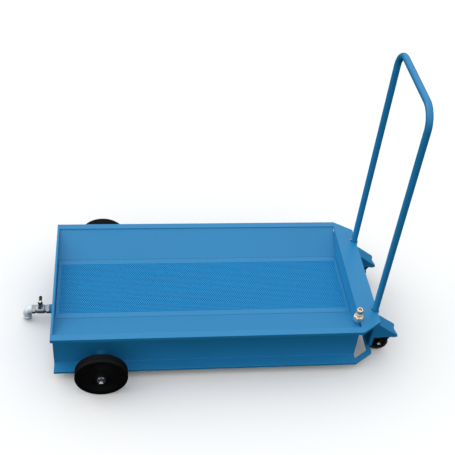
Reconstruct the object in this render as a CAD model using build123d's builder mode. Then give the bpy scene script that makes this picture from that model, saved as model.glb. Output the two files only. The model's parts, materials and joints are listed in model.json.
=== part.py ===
from build123d import *
import os
from math import atan2, cos, hypot

# Low wheeled used-oil tray: a sheet-steel tray with sloping sides, a lift-out
# grille over a sump, a push handle, two fixed wheels, two castors, a drain valve
# and a suction coupling. Millimetres. +X runs towards the handle, +Y to the far
# side, +Z up. The origin is under the middle of the whole object, on the floor.

os.makedirs("parts", exist_ok=True)

# Tray
tray_length = 1270.0
tray_width = 636.0
rim_height = 235.0
sheet = 3.0
corner_cut_x = 76.0
corner_cut_y = 52.0
rim_width = 28.0
lip_drop = 15.0
slope_run = 130.0
slope_drop = 60.0
rim_step = 5.0
ledge_width = 20.0
deck_width = 80.0
deck_return = 10.0
end_wall_lean = 8.0
end_wall_skirt = 6.0
left_rim_width = 8.0
left_wall_inset = 4.0

# Lower frame and sump
web_inset = 45.0
frame_top = 50.0
frame_lip = 12.0
frame_bar = 20.0

# Grille and its bars
grille_thickness = 3.0
grille_gap = 1.0
bar_count = 4
bar_thickness = 6.0
bar_depth = 30.0
bar_end_margin = 40.0

# Handle
handle_height = 1174.0
handle_side_inset = 118.0
handle_tube = 25.4
handle_wall = 2.0
handle_bend = 70.0
handle_setback = 6.0
socket_wall = 3.2
socket_drop = 5.0
notch_gap = 0.5

# Castor brackets
bracket_width = 64.0
bracket_top = 190.0
castor_swing_gap = 3.0
bracket_tip_rise = 6.0
bracket_leg_width = 11.0
plate_thickness = 4.0
scallop_depth = 8.0
scallop_radius = 30.0

# Castors
castor_radius = 40.0
castor_width = 25.0
castor_wheel_gap = 6.7
castor_offset = 28.0
castor_plate_size = 60.0
castor_plate_thickness = 2.5
castor_plate_round = 4.0
castor_tip_margin = 4.0
castor_tyre_round = 4.0
castor_core_recess = 3.0
castor_core_radius = 29.0
castor_hub_radius = 11.0
castor_axle_radius = 4.0
kingpin_radius = 5.0
kingpin_head_radius = 8.0
kingpin_head_height = 2.5
race_radius = 19.0
race_height = 8.0
fork_thickness = 2.5
fork_side_gap = 5.0
fork_boss_radius = 12.0
fork_crown_radius = 21.0
castor_bolt_radius = 3.0
castor_bolt_spacing = 45.0
castor_bolt_flats = 10.0
castor_bolt_head = 4.0
castor_nut_height = 5.0
castor_bolt_end = 1.0
axle_head_flats = 13.0
axle_head_height = 5.0
castor_axle_end = 3.0

# Fixed wheels
wheel_radius = 100.0
wheel_width = 38.0
wheel_outset = 39.0
wheel_from_end = 186.0
tyre_depth = 32.0
tyre_round = 3.0
disc_recess = 3.0
hub_radius = 24.0
hub_width = 50.0
axle_radius = 10.0
bush_wall = 3.0
boss_wall = 6.0
washer_radius = 18.0
washer_thickness = 3.0
axle_nut_flats = 30.0
axle_nut_height = 16.0
axle_end = 5.0
axle_chamfer = 1.5

# Drain line
drain_height = 58.0
drain_socket_radius = 19.0
drain_socket_length = 28.0
drain_bore = 12.5
valve_length = 70.0
valve_end_flats = 32.0
valve_end_length = 14.0
valve_waist_radius = 16.5
ball_radius = 13.0
ball_bore = 8.5
stem_radius = 5.0
stem_sink = 2.0
stem_end = 1.0
bonnet_radius = 9.5
bonnet_height = 28.0
lever_height = 94.0
lever_span = 70.0
lever_width = 13.0
lever_thickness = 6.0
lever_hub_radius = 9.5
lever_nut_flats = 11.0
lever_nut_height = 5.0
elbow_radius = 16.5
elbow_reach = 38.0
elbow_mouth_height = 14.0

# Suction line
coupling_setback = 89.0
coupling_side_inset = 68.0
coupling_socket_radius = 17.5
coupling_socket_depth = 34.0
coupling_socket_rise = 2.0
coupling_hex = 36.0
coupling_hex_height = 18.0
coupling_neck_radius = 12.0
coupling_neck_height = 8.0
coupling_head_radius = 14.5
coupling_head_height = 30.0
coupling_bore = 9.0
coupling_spigot = 11.0
pipe_radius = 13.4
pipe_wall = 2.4
pipe_height = 82.0
pipe_bend = 40.0
pipe_run_back = 90.0
pipe_into_sump = 5.0

# Clearances
weld_gap = 0.1
run_gap = 0.05
free_gap = 0.3
hole_gap = 0.3
cut_margin = 5.0

# Castor stack, from the floor up to its plate, and the bracket that it hangs under
crown_stack = castor_wheel_gap + fork_thickness + free_gap
castor_height = 2 * castor_radius + crown_stack + race_height + castor_plate_thickness
castor_swing = castor_offset + castor_radius + castor_swing_gap
bracket_reach = castor_swing + castor_plate_size / 2 + castor_tip_margin

# Derived places
drain_reach = drain_socket_length + valve_length + elbow_reach
overall_length = drain_reach + tray_length + bracket_reach
tray_left = drain_reach - overall_length / 2
tray_right = tray_left + tray_length
half_width = tray_width / 2
rim_inner = half_width - rim_width
slope_foot = rim_inner - slope_run
sump_half = slope_foot - ledge_width
ledge_top = rim_height - slope_drop
deck_start = tray_right - deck_width
corner_start = tray_right - corner_cut_x
slope_fall = slope_drop - rim_step - grille_thickness
slope_sheet = sheet / cos(atan2(slope_fall, slope_run))
web_outer = half_width - web_inset
web_inner = web_outer - sheet
frame_bottom = frame_top - frame_lip
floor_top = frame_top
floor_bottom = frame_top - sheet
left_wall_outer = tray_left + left_wall_inset
left_wall_inner = left_wall_outer + sheet
wall_sheet = sheet / cos(atan2(end_wall_lean, slope_drop))
leg_x = tray_right - handle_setback
leg_y = half_width - handle_side_inset
leg_radius = handle_tube / 2
bush_radius = axle_radius + bush_wall
boss_radius = axle_radius + boss_wall
socket_radius = leg_radius + weld_gap + socket_wall
plate_face = tray_right - sheet
leg_edge = plate_face + bracket_leg_width
bracket_tip = tray_right + bracket_reach
seat_bottom = castor_height
seat_top = seat_bottom + plate_thickness
bracket_tip_height = seat_top + bracket_tip_rise
axle_x = tray_left + wheel_from_end
wheel_inner = half_width + wheel_outset
hub_inner = wheel_inner - (hub_width - wheel_width) / 2
hub_outer = hub_inner + hub_width
boss_inner = sump_half + sheet
boss_outer = hub_inner - washer_thickness
kingpin_x = bracket_tip - castor_tip_margin - castor_plate_size / 2
castor_x = kingpin_x - castor_offset
valve_right = tray_left - drain_socket_length
valve_left = valve_right - valve_length
valve_x = (valve_left + valve_right) / 2
elbow_x = tray_left - drain_reach + elbow_radius
coupling_x = tray_right - coupling_setback
coupling_y = -half_width + coupling_side_inset
coupling_top = rim_height + coupling_socket_rise
sides = (("near", -1), ("far", 1))


def slope_height(y):
    """Height of the drip slope's upper face at distance y from the middle plane."""
    return rim_height - rim_step - slope_fall * (rim_inner - y) / slope_run


def end_wall_x(z):
    """Where the leaning end wall's inner face stands at height z."""
    return deck_start - (rim_height - z) * end_wall_lean / slope_drop


def plan_outline(inset, start_x):
    """Corners of the tray's plan from start_x to the handle end, drawn in by inset."""
    cut = hypot(corner_cut_x, corner_cut_y)
    cut_start = corner_start + (corner_cut_x - cut) * inset / corner_cut_y
    cut_end = half_width - corner_cut_y - (cut - corner_cut_y) * inset / corner_cut_x
    edge = half_width - inset
    far_x = tray_right - inset
    near_half = [(start_x, -edge), (cut_start, -edge), (far_x, -cut_end)]
    far_half = [(far_x, cut_end), (cut_start, edge), (start_x, edge)]
    return near_half + far_half


def end_cut(top):
    """Corners of the space from the leaning wall's inner face to beyond the tray."""
    low = (end_wall_x(0), 0)
    high = (end_wall_x(top), top)
    return [low, high, (bracket_tip, top), (bracket_tip, 0)]


# Suction pipe: from the coupling down, then slanting back through the sump wall.
# The envelope is what the sump wall's hole has to clear.
pipe_end_y = -sump_half + pipe_into_sump
pipe_corner = (coupling_x, coupling_y, pipe_height)
pipe_points = [
    (coupling_x, coupling_y, rim_height - coupling_socket_depth / 2),
    pipe_corner,
    (coupling_x - pipe_run_back, pipe_end_y, pipe_height),
]
pipe_start = Plane.XY.offset(pipe_points[0][2])
with BuildPart() as suction_pipe:
    with BuildLine():
        FilletPolyline(pipe_points, radius=pipe_bend)
    with BuildSketch(pipe_start):
        with Locations((coupling_x, coupling_y)):
            Circle(pipe_radius)
            Circle(pipe_radius - pipe_wall, mode=Mode.SUBTRACT)
    sweep()
suction_pipe.part.label = "suction_pipe"
export_step(suction_pipe.part, "parts/suction_pipe.step")

with BuildPart() as pipe_envelope:
    with BuildLine():
        FilletPolyline(pipe_points, radius=pipe_bend)
    with BuildSketch(pipe_start):
        with Locations((coupling_x, coupling_y)):
            Circle(pipe_radius + weld_gap)
    sweep()

# Coupling opening through the near slope, the end wall and the deck.
coupling_hole_low = rim_height - coupling_socket_depth - cut_margin
with BuildPart() as coupling_hole:
    with BuildSketch(Plane.XY.offset(coupling_hole_low)):
        with Locations((coupling_x, coupling_y)):
            Circle(coupling_socket_radius + weld_gap)
    extrude(amount=coupling_socket_depth + 2 * cut_margin)

# Tray sides: lip, rim, a small step down, drip slope and a grille ledge set one
# grille thickness below the slope, all folded from one sheet.
step_back = rim_inner + sheet
foot_back = slope_foot + sheet
side_profile = [
    (half_width, rim_height - lip_drop),
    (half_width, rim_height),
    (rim_inner, rim_height),
    (rim_inner, slope_height(rim_inner)),
    (slope_foot, slope_height(slope_foot)),
    (slope_foot, ledge_top),
    (sump_half, ledge_top),
    (sump_half, ledge_top - sheet),
    (foot_back, ledge_top - sheet),
    (foot_back, slope_height(foot_back) - slope_sheet),
    (step_back, slope_height(step_back) - slope_sheet),
    (step_back, rim_height - sheet),
    (half_width - sheet, rim_height - sheet),
    (half_width - sheet, rim_height - lip_drop),
]
for side, sign in sides:
    with BuildPart() as tray_side:
        with BuildSketch(Plane.YZ.offset(tray_left)):
            with BuildLine():
                Polyline([(sign * y, z) for y, z in side_profile], close=True)
            make_face()
        extrude(amount=deck_start - tray_left)
        with BuildSketch(Plane.YZ.offset(tray_left)):
            with Locations((sign * rim_inner / 2, rim_height / 2)):
                Rectangle(rim_inner, rim_height + cut_margin)
        extrude(amount=left_wall_inner - tray_left, mode=Mode.SUBTRACT)
        with BuildSketch(Plane.YZ.offset(tray_left)):
            with Locations((sign * rim_inner / 2, rim_height - sheet / 2)):
                Rectangle(rim_inner, sheet)
        extrude(amount=left_rim_width, mode=Mode.SUBTRACT)
        with BuildSketch(Plane.XZ):
            with BuildLine():
                Polyline(end_cut(rim_height), close=True)
            make_face()
        extrude(amount=rim_inner, both=True, mode=Mode.SUBTRACT)
        if sign * coupling_y > 0:
            add(coupling_hole.part, mode=Mode.SUBTRACT)
    tray_side.part.label = f"tray_side_{side}"
    export_step(tray_side.part, f"parts/tray_side_{side}.step")

# Rim strip across the drain end, with its own down-turned lip.
left_rim_profile = [
    (tray_left, rim_height - lip_drop),
    (tray_left, rim_height),
    (tray_left + left_rim_width, rim_height),
    (tray_left + left_rim_width, rim_height - sheet),
    (tray_left + sheet, rim_height - sheet),
    (tray_left + sheet, rim_height - lip_drop),
]
with BuildPart() as left_rim:
    with BuildSketch(Plane.XZ):
        with BuildLine():
            Polyline(left_rim_profile, close=True)
        make_face()
    extrude(amount=rim_inner, both=True)
left_rim.part.label = "left_rim"
export_step(left_rim.part, "parts/left_rim.step")

# End wall at the drain end: closes the sump, the side channels and the slopes.
left_wall_half = [
    (half_width, frame_bottom),
    (half_width, frame_top),
    (web_outer, frame_top),
    (web_outer, rim_height - lip_drop),
    (rim_inner, rim_height - lip_drop),
    (rim_inner, rim_height - sheet),
]
left_wall_profile = left_wall_half + [(-y, z) for y, z in reversed(left_wall_half)]
with BuildPart() as left_end_wall:
    with BuildSketch(Plane.YZ.offset(left_wall_outer)):
        with BuildLine():
            Polyline(left_wall_profile, close=True)
        make_face()
        with Locations((0, drain_height)):
            Circle(drain_socket_radius + weld_gap, mode=Mode.SUBTRACT)
    extrude(amount=sheet)
left_end_wall.part.label = "left_end_wall"
export_step(left_end_wall.part, "parts/left_end_wall.step")

# Side webs: set-back upright with an outward foot flange and its lip.
web_profile = [
    (half_width, frame_bottom),
    (half_width, frame_top),
    (web_outer, frame_top),
    (web_outer, slope_height(web_outer) - slope_sheet),
    (web_inner, slope_height(web_inner) - slope_sheet),
    (web_inner, floor_bottom),
    (half_width - sheet, floor_bottom),
    (half_width - sheet, frame_bottom),
]
for side, sign in sides:
    with BuildPart() as side_web:
        with BuildSketch(Plane.YZ.offset(left_wall_inner)):
            with BuildLine():
                Polyline([(sign * y, z) for y, z in web_profile], close=True)
            make_face()
        extrude(amount=corner_start - left_wall_inner)
        with BuildSketch(Plane.XZ):
            with Locations((axle_x, wheel_radius)):
                Circle(boss_radius + weld_gap)
        extrude(amount=half_width, both=True, mode=Mode.SUBTRACT)
    side_web.part.label = f"side_web_{side}"
    export_step(side_web.part, f"parts/side_web_{side}.step")

# End deck: flat plate with cut corners, an outer lip and a return along the tray,
# notched for the handle legs.
with BuildPart() as end_deck:
    with BuildSketch(Plane.XY.offset(rim_height - lip_drop)):
        with BuildLine():
            Polyline(plan_outline(0, deck_start), close=True)
        make_face()
    extrude(amount=lip_drop)
    with BuildSketch(Plane.XY.offset(rim_height - lip_drop)):
        with BuildLine():
            Polyline(plan_outline(sheet, deck_start - cut_margin), close=True)
        make_face()
    extrude(amount=lip_drop - sheet, mode=Mode.SUBTRACT)
    with BuildSketch(Plane.XY.offset(rim_height - lip_drop)):
        with Locations((leg_x, -leg_y), (leg_x, leg_y)):
            Circle(socket_radius + notch_gap)
    extrude(amount=lip_drop, mode=Mode.SUBTRACT)
    with BuildSketch(Plane.XY.offset(rim_height - deck_return)):
        with Locations((deck_start + sheet / 2, 0)):
            Rectangle(sheet, 2 * rim_inner)
    extrude(amount=deck_return - sheet)
    add(coupling_hole.part, mode=Mode.SUBTRACT)
end_deck.part.label = "end_deck"
export_step(end_deck.part, "parts/end_deck.step")

# Leaning wall between the deck's return and the sump floor. Its skirt hangs behind
# the ends of the slopes; on the near side it stops at the coupling socket.
wall_skirt = slope_sheet + end_wall_skirt
wall_top = rim_height - deck_return
wall_profile = [
    (-sump_half - sheet, floor_bottom),
    (-sump_half - sheet, ledge_top - wall_skirt),
    (-slope_foot, ledge_top - wall_skirt),
    (coupling_y, slope_height(-coupling_y) - wall_skirt),
    (coupling_y, wall_top),
    (web_inner, wall_top),
    (web_inner, slope_height(web_inner) - wall_skirt),
    (slope_foot, ledge_top - wall_skirt),
    (sump_half + sheet, ledge_top - wall_skirt),
    (sump_half + sheet, floor_bottom),
]
wall_low_x = end_wall_x(floor_bottom)
with BuildPart() as end_wall:
    with BuildSketch(Plane.YZ.offset(wall_low_x)):
        with BuildLine():
            Polyline(wall_profile, close=True)
        make_face()
    extrude(amount=tray_right - wall_low_x)
    with BuildSketch(Plane.XZ):
        with BuildLine():
            Polyline(
                (end_wall_x(0), 0),
                (end_wall_x(rim_height), rim_height),
                (end_wall_x(rim_height) + wall_sheet, rim_height),
                (end_wall_x(0) + wall_sheet, 0),
                close=True,
            )
        make_face()
    extrude(amount=rim_inner, both=True, mode=Mode.INTERSECT)
    add(coupling_hole.part, mode=Mode.SUBTRACT)
end_wall.part.label = "end_wall"
export_step(end_wall.part, "parts/end_wall.step")

# Lower frame round the handle end: an angle that follows the tray's plan.
inner_start = corner_start - frame_bar - cut_margin
with BuildPart() as lower_end_frame:
    with BuildSketch(Plane.XY.offset(frame_bottom)):
        with BuildLine():
            Polyline(plan_outline(0, deck_start), close=True)
        make_face()
    extrude(amount=frame_lip)
    with BuildSketch(Plane.XY.offset(frame_bottom)):
        with BuildLine():
            Polyline(plan_outline(sheet, inner_start), close=True)
        make_face()
    extrude(amount=frame_lip - sheet, mode=Mode.SUBTRACT)
    with BuildSketch(Plane.XY.offset(frame_top - sheet)):
        with BuildLine():
            Polyline(plan_outline(frame_bar, inner_start), close=True)
        make_face()
    extrude(amount=sheet, mode=Mode.SUBTRACT)
    split(bisect_by=Plane.YZ.offset(corner_start), keep=Keep.TOP)
lower_end_frame.part.label = "lower_end_frame"
export_step(lower_end_frame.part, "parts/lower_end_frame.step")

# Sump: two side walls and a floor between the end walls.
for side, sign in sides:
    with BuildPart() as sump_wall:
        with BuildSketch(Plane.YZ.offset(left_wall_inner)):
            with Locations((sign * (sump_half + sheet / 2), (floor_bottom + ledge_top - sheet) / 2)):
                Rectangle(sheet, ledge_top - sheet - floor_bottom)
        extrude(amount=deck_start - left_wall_inner)
        with BuildSketch(Plane.XZ):
            with BuildLine():
                Polyline(end_cut(rim_height), close=True)
            make_face()
        extrude(amount=half_width, both=True, mode=Mode.SUBTRACT)
        if sign * coupling_y > 0:
            add(pipe_envelope.part, mode=Mode.SUBTRACT)
    sump_wall.part.label = f"sump_wall_{side}"
    export_step(sump_wall.part, f"parts/sump_wall_{side}.step")

with BuildPart() as sump_floor:
    with BuildSketch(Plane.XZ):
        with BuildLine():
            Polyline(
                (left_wall_inner, floor_bottom),
                (left_wall_inner, floor_top),
                (end_wall_x(floor_top), floor_top),
                (end_wall_x(floor_bottom), floor_bottom),
                close=True,
            )
        make_face()
    extrude(amount=sump_half, both=True)
sump_floor.part.label = "sump_floor"
export_step(sump_floor.part, "parts/sump_floor.step")

# Flat bars across the sump, on edge under the grille.
grille_left = tray_left + left_rim_width + grille_gap
grille_right = end_wall_x(ledge_top) - grille_gap
bar_first = grille_left + bar_end_margin
bar_step = (grille_right - bar_end_margin - bar_first) / (bar_count - 1)
for index in range(bar_count):
    with BuildPart() as grille_bar:
        with BuildSketch(Plane.XZ):
            with Locations((bar_first + index * bar_step, ledge_top - bar_depth / 2)):
                Rectangle(bar_thickness, bar_depth)
        extrude(amount=sump_half, both=True)
    grille_bar.part.label = f"grille_bar_{index + 1}"
    export_step(grille_bar.part, f"parts/grille_bar_{index + 1}.step")

# Lift-out grille: one sheet, resting on the two ledges and the bars.
with BuildPart() as grille:
    with BuildSketch(Plane.XY.offset(ledge_top)):
        with Locations(((grille_left + grille_right) / 2, 0)):
            Rectangle(grille_right - grille_left, 2 * (slope_foot - grille_gap))
    extrude(amount=grille_thickness)
grille.part.label = "grille"
export_step(grille.part, "parts/grille.step")

# Push handle: one bent tube with two upright legs.
handle_points = [
    (leg_x, -leg_y, bracket_top),
    (leg_x, -leg_y, handle_height),
    (leg_x, leg_y, handle_height),
    (leg_x, leg_y, bracket_top),
]
with BuildPart() as handle:
    with BuildLine():
        FilletPolyline(handle_points, radius=handle_bend)
    with BuildSketch(Plane.XY.offset(bracket_top)):
        with Locations((leg_x, -leg_y)):
            Circle(leg_radius)
            Circle(leg_radius - handle_wall, mode=Mode.SUBTRACT)
    sweep()
handle.part.label = "handle"
export_step(handle.part, "parts/handle.step")

# Handle sockets, castor bracket plates, wedges and seats, one set on each side.
wedge_fall = (bracket_top - bracket_tip_height) / (bracket_tip - plate_face)
wedge_sheet = sheet / cos(atan2(bracket_top - bracket_tip_height, bracket_tip - plate_face))
bolt_places = GridLocations(castor_bolt_spacing, castor_bolt_spacing, 2, 2).local_locations
bolt_offsets = [(place.position.X, place.position.Y) for place in bolt_places]
for side, sign in sides:
    y = sign * leg_y
    bolt_points = [(kingpin_x + dx, y + dy) for dx, dy in bolt_offsets]

    with BuildPart() as handle_socket:
        with BuildSketch(Plane.XY.offset(bracket_top)):
            with Locations((leg_x, y)):
                Circle(socket_radius)
                Circle(leg_radius + weld_gap, mode=Mode.SUBTRACT)
        extrude(amount=rim_height - socket_drop - bracket_top)
    handle_socket.part.label = f"handle_socket_{side}"
    export_step(handle_socket.part, f"parts/handle_socket_{side}.step")

    with BuildPart() as bracket_plate:
        with BuildSketch(Plane.YZ.offset(plate_face - plate_thickness)):
            with Locations((y, (frame_top + bracket_top) / 2)):
                Rectangle(bracket_width, bracket_top - frame_top)
        extrude(amount=plate_thickness)
    bracket_plate.part.label = f"bracket_plate_{side}"
    export_step(bracket_plate.part, f"parts/bracket_plate_{side}.step")

    # Wedge: a sloping top with two cheeks, open below and at the tip.
    with BuildPart() as castor_bracket:
        with BuildSketch(Plane.XZ.offset(-y)):
            with BuildLine():
                Polyline(
                    (plate_face, frame_top),
                    (plate_face, bracket_top),
                    (bracket_tip, bracket_tip_height),
                    (bracket_tip, seat_top),
                    (leg_edge, seat_top),
                    (leg_edge, frame_top),
                    close=True,
                )
            make_face()
        extrude(amount=bracket_width / 2, both=True)
        with BuildSketch(Plane.XZ.offset(-y)):
            with BuildLine():
                Polyline(
                    (plate_face - cut_margin, frame_top - cut_margin),
                    (plate_face - cut_margin, bracket_top - wedge_sheet + cut_margin * wedge_fall),
                    (bracket_tip + cut_margin, bracket_tip_height - wedge_sheet - cut_margin * wedge_fall),
                    (bracket_tip + cut_margin, frame_top - cut_margin),
                    close=True,
                )
            make_face()
        extrude(amount=bracket_width / 2 - sheet, both=True, mode=Mode.SUBTRACT)
        with BuildSketch(Plane.XY.offset(seat_bottom)):
            with Locations((bracket_tip + scallop_radius - scallop_depth, y)):
                Circle(scallop_radius)
        extrude(amount=bracket_top - seat_bottom, mode=Mode.SUBTRACT)
    castor_bracket.part.label = f"castor_bracket_{side}"
    export_step(castor_bracket.part, f"parts/castor_bracket_{side}.step")

    with BuildPart() as castor_seat:
        with BuildSketch(Plane.XY.offset(seat_bottom)):
            with Locations(((leg_edge + bracket_tip) / 2, y)):
                Rectangle(bracket_tip - leg_edge, bracket_width)
            with Locations((bracket_tip + scallop_radius - scallop_depth, y)):
                Circle(scallop_radius, mode=Mode.SUBTRACT)
            with Locations(bolt_points):
                Circle(castor_bolt_radius + hole_gap, mode=Mode.SUBTRACT)
            with Locations((kingpin_x, y)):
                Circle(kingpin_head_radius + free_gap, mode=Mode.SUBTRACT)
        extrude(amount=plate_thickness)
    castor_seat.part.label = f"castor_seat_{side}"
    export_step(castor_seat.part, f"parts/castor_seat_{side}.step")

    # Castor top plate with the pressed race that the fork's crown runs under.
    plate_bottom = castor_height - castor_plate_thickness
    race_bottom = plate_bottom - race_height
    with BuildPart() as castor_plate:
        with BuildSketch(Plane.XY.offset(plate_bottom)):
            with Locations((kingpin_x, y)):
                RectangleRounded(castor_plate_size, castor_plate_size, castor_plate_round)
            with Locations(bolt_points):
                Circle(castor_bolt_radius + hole_gap, mode=Mode.SUBTRACT)
        extrude(amount=castor_plate_thickness)
        with BuildSketch(Plane.XY.offset(race_bottom)):
            with Locations((kingpin_x, y)):
                Circle(race_radius)
        extrude(amount=race_height)
        with BuildSketch(Plane.XY.offset(race_bottom)):
            with Locations((kingpin_x, y)):
                Circle(kingpin_radius + weld_gap)
        extrude(amount=castor_height, mode=Mode.SUBTRACT)
    castor_plate.part.label = f"castor_plate_{side}"
    export_step(castor_plate.part, f"parts/castor_plate_{side}.step")

    # Fork: crown under the race and two cheeks down to the axle.
    crown_top = race_bottom - free_gap
    crown_bottom = crown_top - fork_thickness
    fork_inner = castor_width / 2 + fork_side_gap
    fork_outer = fork_inner + fork_thickness
    with BuildPart() as castor_fork:
        with BuildSketch(Plane.XZ.offset(-y)):
            with BuildLine():
                Polyline(
                    (kingpin_x - fork_crown_radius, crown_top),
                    (kingpin_x + fork_boss_radius, crown_top),
                    (castor_x + fork_boss_radius, castor_radius),
                    (castor_x - fork_boss_radius, castor_radius),
                    close=True,
                )
            make_face()
            with Locations((castor_x, castor_radius)):
                Circle(fork_boss_radius)
        extrude(amount=fork_outer, both=True)
        with BuildSketch(Plane.XZ.offset(-y)):
            with Locations((kingpin_x, crown_bottom - castor_height)):
                Rectangle(2 * castor_height, 2 * castor_height)
        extrude(amount=fork_inner, both=True, mode=Mode.SUBTRACT)
        with BuildSketch(Plane.XY.offset(crown_bottom)):
            with Locations((kingpin_x, y)):
                Circle(fork_crown_radius)
        extrude(amount=fork_thickness)
        with BuildSketch(Plane.XY.offset(crown_bottom)):
            with Locations((kingpin_x, y)):
                Circle(kingpin_radius + run_gap)
        extrude(amount=fork_thickness, mode=Mode.SUBTRACT)
        with BuildSketch(Plane.XZ.offset(-y)):
            with Locations((castor_x, castor_radius)):
                Circle(castor_axle_radius + weld_gap)
        extrude(amount=fork_outer, both=True, mode=Mode.SUBTRACT)
    castor_fork.part.label = f"castor_fork_{side}"
    export_step(castor_fork.part, f"parts/castor_fork_{side}.step")

    with BuildPart() as castor_tyre:
        with BuildSketch(Plane.XZ.offset(-y)):
            with Locations((castor_x, castor_radius)):
                Circle(castor_radius)
                Circle(castor_core_radius, mode=Mode.SUBTRACT)
        extrude(amount=castor_width / 2, both=True)
        tread_edges = castor_tyre.edges().filter_by(GeomType.CIRCLE).group_by(SortBy.RADIUS)[-1]
        fillet(tread_edges, radius=castor_tyre_round)
    castor_tyre.part.label = f"castor_tyre_{side}"
    export_step(castor_tyre.part, f"parts/castor_tyre_{side}.step")

    with BuildPart() as castor_core:
        with BuildSketch(Plane.XZ.offset(-y)):
            with Locations((castor_x, castor_radius)):
                Circle(castor_core_radius)
        extrude(amount=castor_width / 2 - castor_core_recess, both=True)
        with BuildSketch(Plane.XZ.offset(-y)):
            with Locations((castor_x, castor_radius)):
                Circle(castor_hub_radius)
        extrude(amount=fork_inner - 2 * free_gap, both=True)
        with BuildSketch(Plane.XZ.offset(-y)):
            with Locations((castor_x, castor_radius)):
                Circle(castor_axle_radius + run_gap)
        extrude(amount=fork_inner, both=True, mode=Mode.SUBTRACT)
    castor_core.part.label = f"castor_core_{side}"
    export_step(castor_core.part, f"parts/castor_core_{side}.step")

    # Castor axle: bolt with its head towards the near side, and its nut.
    with BuildPart() as castor_axle:
        with BuildSketch(Plane.XZ.offset(fork_outer - y)):
            with Locations((castor_x, castor_radius)):
                RegularPolygon(axle_head_flats / 2, 6, major_radius=False)
        extrude(amount=axle_head_height)
        with BuildSketch(Plane.XZ.offset(fork_outer - y)):
            with Locations((castor_x, castor_radius)):
                Circle(castor_axle_radius)
        extrude(amount=-(2 * fork_outer + axle_head_height + castor_axle_end))
        with BuildSketch(Plane.XZ.offset(-fork_outer - y)):
            with Locations((castor_x, castor_radius)):
                RegularPolygon(axle_head_flats / 2, 6, major_radius=False)
                Circle(castor_axle_radius + weld_gap, mode=Mode.SUBTRACT)
        extrude(amount=-axle_head_height)
    castor_axle.part.label = f"castor_axle_{side}"
    export_step(castor_axle.part, f"parts/castor_axle_{side}.step")

# Kingpins: riveted over the plate above and under the fork's crown below.
with BuildPart() as castor_kingpins:
    with BuildSketch(Plane.XY.offset(castor_height)):
        with Locations((kingpin_x, -leg_y), (kingpin_x, leg_y)):
            Circle(kingpin_head_radius)
    extrude(amount=kingpin_head_height)
    with BuildSketch(Plane.XY.offset(castor_height)):
        with Locations((kingpin_x, -leg_y), (kingpin_x, leg_y)):
            Circle(kingpin_radius)
    extrude(amount=-(castor_height - crown_bottom + free_gap))
    with BuildSketch(Plane.XY.offset(crown_bottom - free_gap)):
        with Locations((kingpin_x, -leg_y), (kingpin_x, leg_y)):
            Circle(kingpin_head_radius)
    extrude(amount=-kingpin_head_height)
castor_kingpins.part.label = "castor_kingpins"
export_step(castor_kingpins.part, "parts/castor_kingpins.step")

# Castor bolts: heads on the seats, nuts under the castor plates.
all_bolts = [(kingpin_x + dx, sign * leg_y + dy) for side, sign in sides for dx, dy in bolt_offsets]
with BuildPart() as castor_bolts:
    with BuildSketch(Plane.XY.offset(seat_top)):
        with Locations(all_bolts):
            RegularPolygon(castor_bolt_flats / 2, 6, major_radius=False)
    extrude(amount=castor_bolt_head)
    with BuildSketch(Plane.XY.offset(seat_top)):
        with Locations(all_bolts):
            Circle(castor_bolt_radius)
    extrude(amount=-(seat_top - plate_bottom + castor_nut_height + castor_bolt_end))
    with BuildSketch(Plane.XY.offset(plate_bottom)):
        with Locations(all_bolts):
            RegularPolygon(castor_bolt_flats / 2, 6, major_radius=False)
            Circle(castor_bolt_radius + weld_gap, mode=Mode.SUBTRACT)
    extrude(amount=-castor_nut_height)
castor_bolts.part.label = "castor_bolts"
export_step(castor_bolts.part, "parts/castor_bolts.step")

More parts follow.
